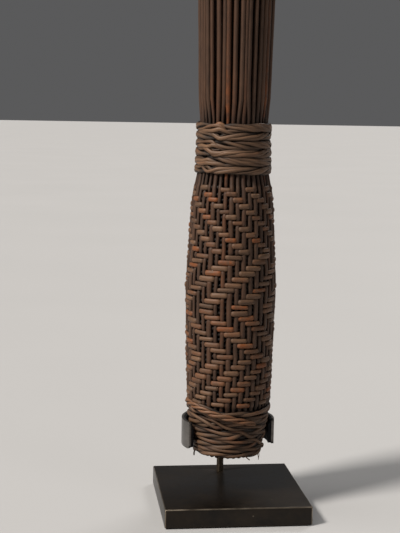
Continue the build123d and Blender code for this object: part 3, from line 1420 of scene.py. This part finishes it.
def upper_lashing(bundle: Bundle, stock: Stock, finishes: Finishes) -> Lashing:
    """Three turns of thick cord that draw the stems in above the plait.

    Args:
        bundle: The whisk's layers.
        stock: The models that its yarns are copied from.
        finishes: The object's finishes.

    Returns:
        The lashing, not yet built.
    """
    return Lashing(
        bundle,
        stock,
        finishes,
        node="upper_lashing",
        turns=3,
        first=161.7,
        pitch=9.0,
        inner=lambda height: bundle.radius(height) + 1.25 + 0.012 * (height - 180.0),
        lift=upper_lift,
        half_high=4.6,
        half_thick=1.35,
        crossing=math.radians(-140.0),
        half_lay=math.radians(180.0),
        yarn_lay=44.0,
        snap=2.6,
        loose=(
            LooseYarn(
                ((-130, 18.6, 181.2), (-124, 20.0, 184.6), (-118, 19.8, 184.2), (-111, 18.4, 181.0)),
                1.15,
                0.9,
                0.3,
            ),
        ),
        seed=5,
    )


def lower_lashing(bundle: Bundle, stock: Stock, finishes: Finishes) -> Lashing:
    """Five turns of cord round the foot, with the cord's end and a few loose fibres.

    Args:
        bundle: The whisk's layers.
        stock: The models that its yarns are copied from.
        finishes: The object's finishes.

    Returns:
        The lashing, not yet built.
    """
    return Lashing(
        bundle,
        stock,
        finishes,
        node="lower_lashing",
        turns=5,
        first=4.2,
        pitch=5.3,
        inner=lambda height: bundle.radius(height) + 1.15,
        lift=lower_lift,
        half_high=2.9,
        half_thick=1.2,
        crossing=math.radians(-152.0),
        half_lay=math.radians(165.0),
        yarn_lay=31.0,
        yarns=2,
        ply_half=0.20,
        yarn_half=0.335,
        snap=3.0,
        warmth=1.0,
        loose=(
            LooseYarn(
                (
                    (-186, 22.6, 29.6),
                    (-160, 24.6, 32.6),
                    (-128, 25.2, 28.0),
                    (-98, 24.8, 25.4),
                    (-58, 23.4, 20.6),
                ),
                0.72,
                0.65,
                0.30,
                fibres=3,
                twists=2.6,
            ),
            LooseYarn(((-168, 18.2, 4.0), (-173, 19.6, 1.0), (-176, 19.0, -1.8)), 0.42, 0.05),
            LooseYarn(((-38, 18.4, 3.0), (-34, 19.6, 0.5), (-33, 19.2, -2.4)), 0.20, 1.0),
            LooseYarn(((-31, 18.4, 3.0), (-28, 19.4, 0.8), (-29, 18.8, -1.6)), 0.18, 0.9),
            LooseYarn(((-66, 18.0, 2.0), (-62, 19.2, 0.2), (-56, 18.8, -0.9)), 0.26, 0.8, 0.5),
        ),
        seed=8,
    )


# Stand ---------------------------------------------------------------------


@dataclass
class Stand:
    """The plate, post, clip band and their small parts.

    Attributes:
        edge_round: Width of the rounding on the plate's edges.
        band_round: Width of the rounding on the band's edges.
        lining_round: Width of the rounding on the lining's edges.
        merge: Distance within which a copy's loose corners are merged.
        flat_deg: Angle between faces up to which they are one flat face.
        edge_deg: Angle between faces past which their edge is rounded.
        smooth_deg: Angle between faces past which their edge stays sharp.
        facing: How squarely a face of the plate looks along an axis, if it isn't part of an edge.
    """

    finishes: Finishes
    edge_round: float = 0.22 * MM
    band_round: float = 0.35 * MM
    lining_round: float = 0.25 * MM
    merge: float = 0.002 * MM
    flat_deg: float = 0.5
    edge_deg: float = 30.0
    smooth_deg: float = 40.0
    facing: float = 0.98

    def rounded_copy(self, node: str, width: float, segments: int) -> Piece:
        """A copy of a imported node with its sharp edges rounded.

        Args:
            node: The node.
            width: Width of the rounding.
            segments: Faces across it.

        Returns:
            The new piece, which stands for the node.
        """
        source = bpy.data.objects[node]
        copy = bpy.data.objects.new(node + "_made", source.data.copy())
        bpy.context.scene.collection.objects.link(copy)
        make_active(copy)
        bpy.ops.object.mode_set(mode="EDIT")
        bpy.ops.mesh.select_all(action="SELECT")
        bpy.ops.mesh.remove_doubles(threshold=self.merge)
        bpy.ops.mesh.dissolve_limited(angle_limit=math.radians(self.flat_deg))
        bpy.ops.object.mode_set(mode="OBJECT")
        apply_modifier(
            copy,
            "BEVEL",
            width=width,
            segments=segments,
            limit_method="ANGLE",
            angle_limit=math.radians(self.edge_deg),
            use_clamp_overlap=True,
            harden_normals=False,
        )
        make_active(copy)
        bpy.ops.object.shade_smooth_by_angle(angle=math.radians(self.smooth_deg))
        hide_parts(node)
        return copy

    def build(self) -> None:
        """Round what shows, and dress every piece."""
        plate = self.rounded_copy("base_plate", self.edge_round, 2)
        dress(plate, self.finishes.get(PLATE), Body.STAND)
        plate.data.materials.append(self.finishes.get(EDGE))
        for face in plate.data.polygons:
            face.material_index = int(max(abs(value) for value in face.normal) < self.facing)
        band = self.rounded_copy("clip_band", self.band_round, 3)
        dress(band, self.finishes.get(BAND), Body.STAND)
        lining = self.rounded_copy("band_lining", self.lining_round, 2)
        dress(lining, self.finishes.get(LINING), Body.STAND)
        for node, finish in (
            ("felt_feet", FELT),
            ("post", POST),
            ("post_nut", POST),
            ("post_washer", POST),
            ("braze_seams", BRAZE),
        ):
            source = bpy.data.objects[node]
            source.data.materials.clear()
            source.data.materials.append(self.finishes.get(finish))
            LOG.info("%s: finish %s", node, finish.name)


# Studio --------------------------------------------------------------------


@dataclass
class Lamp:
    """One soft lamp, far enough away to light the floor evenly.

    Attributes:
        name: Its name.
        azimuth: Where it stands round the whisk, 0 in front and 90 to the left, in degrees.
        elevation: Its height as an angle, in degrees.
        spread: How wide it looks from the whisk, in degrees.
        strength: In watts on each square metre that faces it.
        colour: Its tint.
    """

    name: str
    azimuth: float
    elevation: float
    spread: float
    strength: float
    colour: tuple[float, float, float] = (1.0, 1.0, 1.0)

    def build(self) -> None:
        """Add the lamp, aimed at the whisk."""
        light = bpy.data.lights.new(self.name, "SUN")
        light.energy = self.strength
        light.angle = math.radians(self.spread)
        light.color = self.colour
        lamp = bpy.data.objects.new(self.name, light)
        bpy.context.scene.collection.objects.link(lamp)
        azimuth, elevation = math.radians(self.azimuth), math.radians(self.elevation)
        level = math.cos(elevation)
        away = Vector((-math.sin(azimuth) * level, -math.cos(azimuth) * level, math.sin(elevation)))
        lamp.rotation_euler = (-away).to_track_quat("-Z", "Y").to_euler()


@dataclass
class Studio:
    """Pale floor, soft lamps and camera.

    Attributes:
        camera_place: Where the camera stands.
        yaw: How far it is turned to the right of +Y, in degrees.
        pitch: How far it looks down, in degrees.
        roll: How far it leans, in degrees.
        lens: Its focal length, in millimetres.
        sensor: Width of its sensor, in millimetres.
        backdrop: Colour of the surroundings.
        backdrop_strength: Their brightness.
        floor_side: Side of the floor.
        lamps: The lamps.
    """

    finishes: Finishes
    camera_place: tuple[float, float, float] = (-0.0965, -0.6403, 0.2190)
    yaw: float = 6.93
    pitch: float = 7.34
    roll: float = 0.98
    lens: float = 79.54
    sensor: float = 36.0
    backdrop: tuple[float, float, float, float] = (0.60, 0.60, 0.61, 1.0)
    backdrop_strength: float = 0.17
    floor_side: float = 60.0
    lamps: tuple[Lamp, ...] = (
        Lamp("key", 64.0, 46.0, 11.0, 4.6, (1.0, 0.955, 0.90)),
        Lamp("fill", -45.0, 30.0, 24.0, 0.20, (0.98, 0.98, 1.0)),
        Lamp("top", 100.0, 70.0, 20.0, 0.65, (1.0, 0.98, 0.96)),
        Lamp("back", 222.0, 46.0, 20.0, 0.95, (1.0, 0.98, 0.96)),
    )

    def camera(self) -> None:
        """Create the camera and look at the whisk."""
        data = bpy.data.cameras.new("camera")
        data.lens = self.lens
        data.sensor_width = self.sensor
        data.clip_start = 0.01
        camera = bpy.data.objects.new("camera", data)
        bpy.context.scene.collection.objects.link(camera)
        yaw, pitch, roll = (math.radians(value) for value in (self.yaw, self.pitch, self.roll))
        flat = math.cos(pitch)
        ahead = Vector((math.sin(yaw) * flat, math.cos(yaw) * flat, -math.sin(pitch)))
        level = Vector((math.cos(yaw), -math.sin(yaw), 0.0))
        above = level.cross(ahead)
        right = level * math.cos(roll) + above * math.sin(roll)
        upward = above * math.cos(roll) - level * math.sin(roll)
        turn = Matrix((right, upward, -ahead)).transposed()
        camera.matrix_world = Matrix.Translation(self.camera_place) @ turn.to_4x4()
        bpy.context.scene.camera = camera

    def floor(self) -> None:
        """Lay the floor and set the surroundings."""
        deselect_all()
        bpy.ops.mesh.primitive_plane_add(size=self.floor_side, location=(0.0, 0.0, 0.0))
        floor = bpy.context.object
        floor.name = "floor"
        floor.data.materials.append(self.finishes.get(FloorFinish()))
        world = bpy.data.worlds.new("surroundings")
        world.use_nodes = True
        background = world.node_tree.nodes["Background"]
        background.inputs["Color"].default_value = self.backdrop
        background.inputs["Strength"].default_value = self.backdrop_strength
        bpy.context.scene.world = world

    def build(self) -> None:
        """Set up camera, floor and lamps."""
        self.camera()
        self.floor()
        for lamp in self.lamps:
            lamp.build()
        view = bpy.context.scene.view_settings
        view.view_transform = "Standard"
        view.look = "None"


def main() -> None:
    """Build the studio, the whisk and its stand."""
    logging.basicConfig(level=logging.INFO, format="%(name)s %(message)s")
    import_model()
    finishes = Finishes()
    stock = Stock()
    bundle = Bundle()
    plait = Plait()
    Studio(finishes).build()
    Stand(finishes).build()
    InnerStems(bundle, stock, finishes).build()
    OuterStems(bundle, plait, stock, finishes).build()
    WeftRows(bundle, plait, stock, finishes).build()
    upper_lashing(bundle, stock, finishes).build()
    lower_lashing(bundle, stock, finishes).build()
    stock.clear()


if __name__ == "__main__":
    main()
